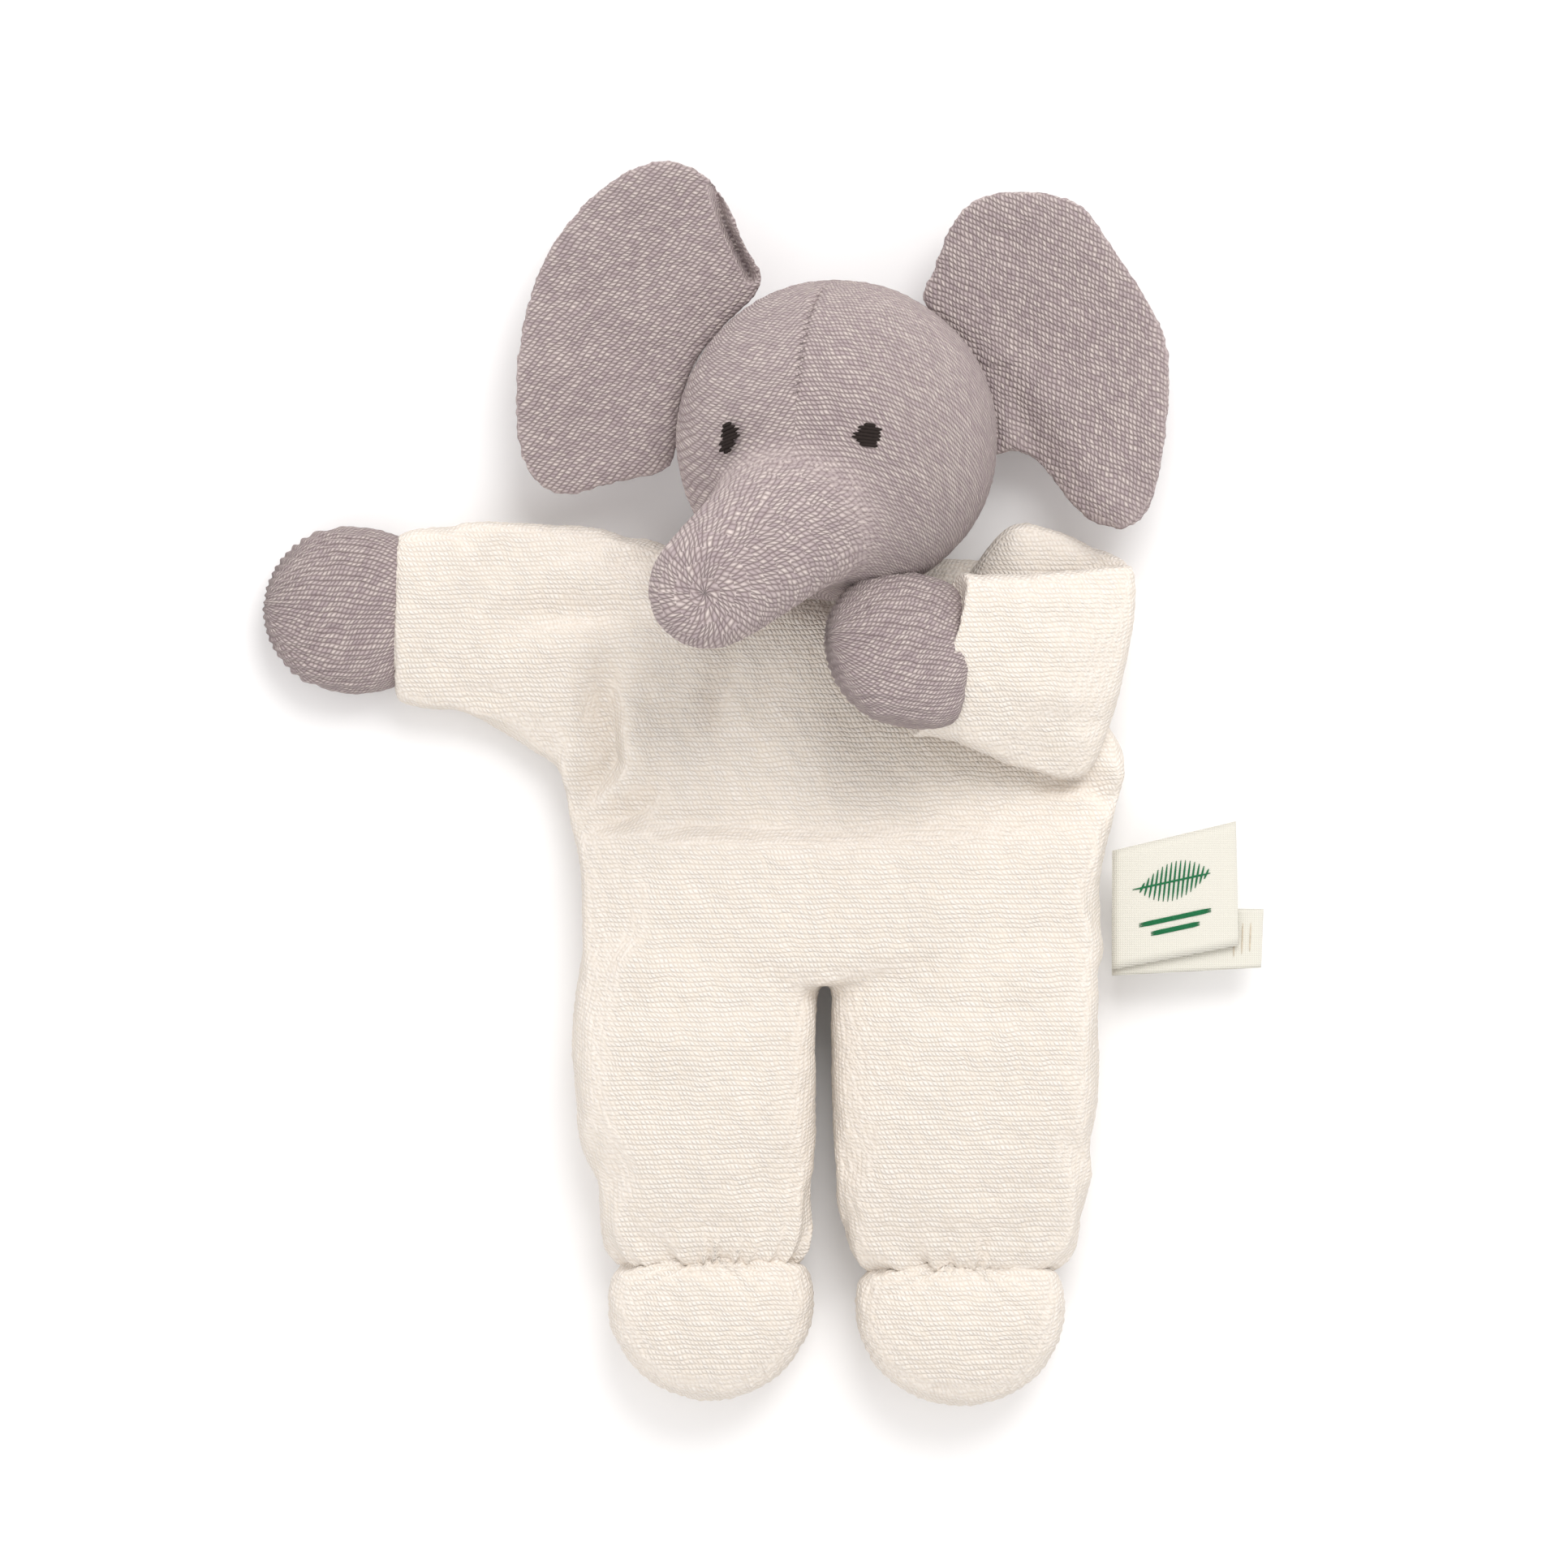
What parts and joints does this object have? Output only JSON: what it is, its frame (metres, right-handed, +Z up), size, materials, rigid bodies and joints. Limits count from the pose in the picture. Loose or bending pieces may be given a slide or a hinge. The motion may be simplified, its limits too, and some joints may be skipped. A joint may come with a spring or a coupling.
{
  "type": "soft elephant doll",
  "caption": "Soft terry elephant doll lying on its back: ball head with trunk and two big ears, romper body with hinged arms, mitten hands, legs and round feet.",
  "frame": {"origin": "on the surface the doll lies on, under the middle of the back at the height of the belly's middle line", "axes": "+Y towards the head, +Z up out of the belly towards the face, +X towards the doll's left hand"},
  "size_m": [0.2025, 0.2494, 0.0771],
  "materials": {
    "cream_terry": "matte",
    "grey_terry": "matte",
    "wool_filling": "matte",
    "cream_thread": "matte",
    "dark_thread": "matte",
    "label_ribbon": "matte"
  },
  "bodies": {
    "torso": {"romper_front": "cream_terry", "romper_back": "cream_terry", "torso_filling": "wool_filling"},
    "neck": {"neck_stalk": "grey_terry", "neck_tie_thread": "cream_thread"},
    "head": {"head_cover_left": "grey_terry", "head_cover_right": "grey_terry", "head_filling": "wool_filling", "eye_left": "dark_thread", "eye_right": "dark_thread"},
    "trunk": {"trunk_cover": "grey_terry", "trunk_filling": "wool_filling"},
    "label_front": {"seam_label_front": "label_ribbon"},
    "label_back": {"seam_label_back": "label_ribbon"},
    "ear_left": {"ear_front_left": "grey_terry", "ear_back_left": "grey_terry"},
    "upper_arm_left": {"upper_sleeve_left": "cream_terry", "upper_filling_left": "wool_filling"},
    "lower_arm_left": {"lower_sleeve_left": "cream_terry", "lower_filling_left": "wool_filling"},
    "hand_left": {"hand_mitt_left": "grey_terry", "hand_filling_left": "wool_filling"},
    "leg_left": {"leg_cover_left": "cream_terry", "leg_filling_left": "wool_filling", "ankle_thread_left": "cream_thread"},
    "foot_left": {"foot_cover_left": "cream_terry", "foot_filling_left": "wool_filling"},
    "ear_right": {"ear_front_right": "grey_terry", "ear_back_right": "grey_terry"},
    "upper_arm_right": {"upper_sleeve_right": "cream_terry", "upper_filling_right": "wool_filling"},
    "lower_arm_right": {"lower_sleeve_right": "cream_terry", "lower_filling_right": "wool_filling"},
    "hand_right": {"hand_mitt_right": "grey_terry", "hand_filling_right": "wool_filling"},
    "leg_right": {"leg_cover_right": "cream_terry", "leg_filling_right": "wool_filling", "ankle_thread_right": "cream_thread"},
    "foot_right": {"foot_cover_right": "cream_terry", "foot_filling_right": "wool_filling"}
  },
  "joints": [
    {"name": "neck_turn", "type": "hinge", "parent": "torso", "child": "neck", "pos_m": [0, 0.05, 0.0085], "axis": [0, 1, 0], "range_deg": [-20, 3]},
    {"name": "head_nod", "type": "hinge", "parent": "neck", "child": "head", "pos_m": [0, 0.056, 0.0085], "axis": [1, 0, 0], "range_deg": [-20, 0]},
    {"name": "trunk_lift", "type": "hinge", "parent": "head", "child": "trunk", "pos_m": [-0.0052, 0.0685, 0.0473], "axis": [-0.2763, 0.8329, 0.4795], "range_deg": [0, 45]},
    {"name": "ear_fold_right", "type": "hinge", "parent": "head", "child": "ear_right", "pos_m": [-0.02856, 0.09701, 0.0168], "axis": [0.4772, 0.8788, 0], "range_deg": [-15, 65]},
    {"name": "ear_fold_left", "type": "hinge", "parent": "head", "child": "ear_left", "pos_m": [0.02921, 0.09575, 0.0168], "axis": [0.4384, -0.8988, 0], "range_deg": [-15, 65]},
    {"name": "arm_raise_right", "type": "hinge", "parent": "torso", "child": "upper_arm_right", "pos_m": [-0.044, 0.038, 0.0072], "axis": [0, 0, -1], "range_deg": [-35, 22]},
    {"name": "arm_raise_left", "type": "hinge", "parent": "torso", "child": "upper_arm_left", "pos_m": [0.044, 0.038, 0.0072], "axis": [0, 0, 1], "range_deg": [0, 35]},
    {"name": "arm_fold_right", "type": "hinge", "parent": "upper_arm_right", "child": "lower_arm_right", "pos_m": [-0.05855, 0.0444, 0.0143], "axis": [0, 1, 0], "range_deg": [0, 90]},
    {"name": "arm_fold_left", "type": "hinge", "parent": "upper_arm_left", "child": "lower_arm_left", "pos_m": [0.05855, 0.035, 0.0149], "axis": [0, 1, 0], "range_deg": [0, 150]},
    {"name": "wrist_right", "type": "hinge", "parent": "lower_arm_right", "child": "hand_right", "pos_m": [-0.0916, 0.046, 0.0094], "axis": [0, 1, 0], "range_deg": [-25, 25]},
    {"name": "wrist_left", "type": "hinge", "parent": "lower_arm_left", "child": "hand_left", "pos_m": [0.0214, 0.0376, 0.037], "axis": [0, 1, 0], "range_deg": [0, 25]},
    {"name": "hip_right", "type": "hinge", "parent": "torso", "child": "leg_right", "pos_m": [-0.0282, -0.034, 0.014], "axis": [-1, 0, 0], "range_deg": [-15, 50]},
    {"name": "hip_left", "type": "hinge", "parent": "torso", "child": "leg_left", "pos_m": [0.0276, -0.034, 0.014], "axis": [-1, 0, 0], "range_deg": [-15, 50]},
    {"name": "ankle_right", "type": "hinge", "parent": "leg_right", "child": "foot_right", "pos_m": [-0.0252, -0.0844, 0.0126], "axis": [-1, 0, 0], "range_deg": [-25, 25]},
    {"name": "ankle_left", "type": "hinge", "parent": "leg_left", "child": "foot_left", "pos_m": [0.0249, -0.0856, 0.0126], "axis": [-1, 0, 0], "range_deg": [-25, 25]},
    {"name": "label_front_flip", "type": "hinge", "parent": "torso", "child": "label_front", "pos_m": [0.0552, -0.012, 0.012], "axis": [0, -1, 0], "range_deg": [0, 80]},
    {"name": "label_back_flip", "type": "hinge", "parent": "torso", "child": "label_back", "pos_m": [0.0552, -0.019, 0.0106], "axis": [0, -1, 0], "range_deg": [-80, 0]}
  ]
}
